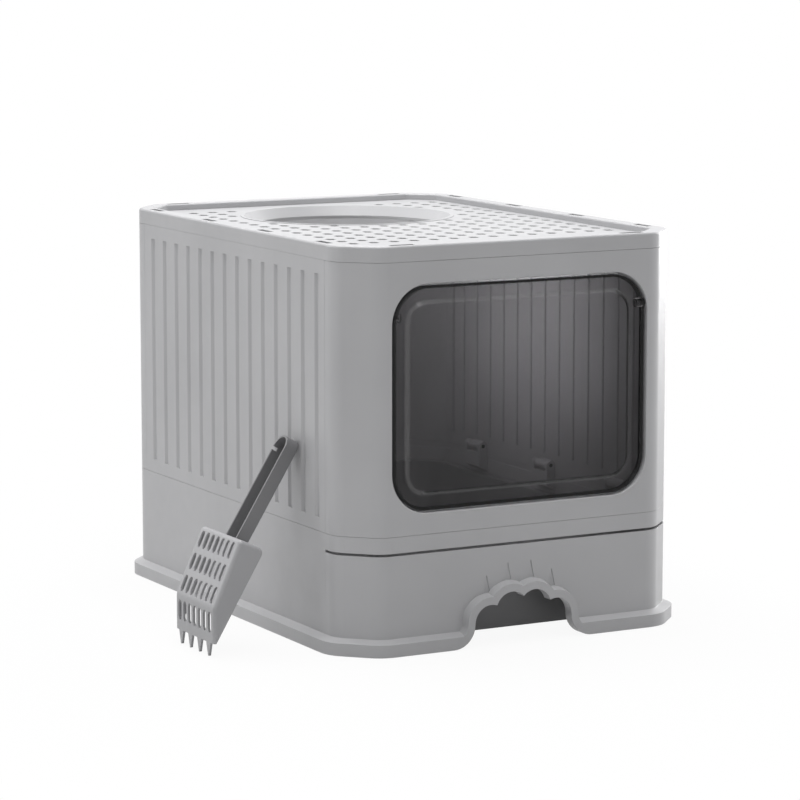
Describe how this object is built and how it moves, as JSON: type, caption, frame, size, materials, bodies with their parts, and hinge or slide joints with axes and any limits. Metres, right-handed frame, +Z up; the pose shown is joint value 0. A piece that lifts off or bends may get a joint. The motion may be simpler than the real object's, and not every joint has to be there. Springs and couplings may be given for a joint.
{
  "type": "covered litter box",
  "caption": "Enclosed pet litter box with a perforated lid, round top entry, two-way front flap, pull-out drawer tray, fold-in ribbed sides and a slotted scoop.",
  "frame": {"origin": "middle of the base floor's underside, on the ground, midway between the walls", "axes": "+X to the right seen from the front, +Y from the drawer front to the rear, +Z up"},
  "size_m": [0.4795, 0.522, 0.381],
  "materials": {
    "shell": "satin moulded",
    "tray": "satin moulded",
    "pins": "smooth",
    "flap": "smoked clear",
    "scoop": "satin moulded",
    "handle": "fine matt"
  },
  "bodies": {
    "base": {"base_frame": "shell", "front_panel": "shell", "rear_panel": "shell", "door_pin_left": "pins", "door_pin_right": "pins", "left_hinge_pin_front": "pins", "left_hinge_pin_middle": "pins", "left_hinge_pin_rear": "pins", "right_hinge_pin_front": "pins", "right_hinge_pin_middle": "pins", "right_hinge_pin_rear": "pins"},
    "drawer": {"drawer_front": "shell", "litter_tray": "tray"},
    "lid": {"lid_rim": "shell", "lid_deck": "shell", "entry_ring": "shell"},
    "door": {"door_flap": "flap"},
    "left_panel": {"left_side_panel": "shell"},
    "right_panel": {"right_side_panel": "shell"},
    "scoop": {"scoop_head": "scoop", "scoop_handle": "handle"}
  },
  "joints": [
    {"name": "drawer_slide", "type": "slide", "parent": "base", "child": "drawer", "axis": [0, -1, 0], "range_m": [0, 0.33]},
    {"name": "lid_lift", "type": "slide", "parent": "base", "child": "lid", "axis": [0, 0, 1], "range_m": [0, 0.25]},
    {"name": "flap_swing", "type": "hinge", "parent": "base", "child": "door", "pos_m": [0, -0.24625, 0.314], "axis": [1, 0, 0], "range_deg": [-90, 90]},
    {"name": "left_panel_fold", "type": "hinge", "parent": "base", "child": "left_panel", "pos_m": [-0.174, 0, 0.112], "axis": [0, 1, 0], "range_deg": [0, 90]},
    {"name": "right_panel_fold", "type": "hinge", "parent": "base", "child": "right_panel", "pos_m": [0.174, 0, 0.119], "axis": [0, -1, 0], "range_deg": [0, 90]},
    {"name": "scoop_lift", "type": "slide", "parent": "base", "child": "scoop", "axis": [0, 0, 1], "range_m": [0, 0.25]}
  ]
}
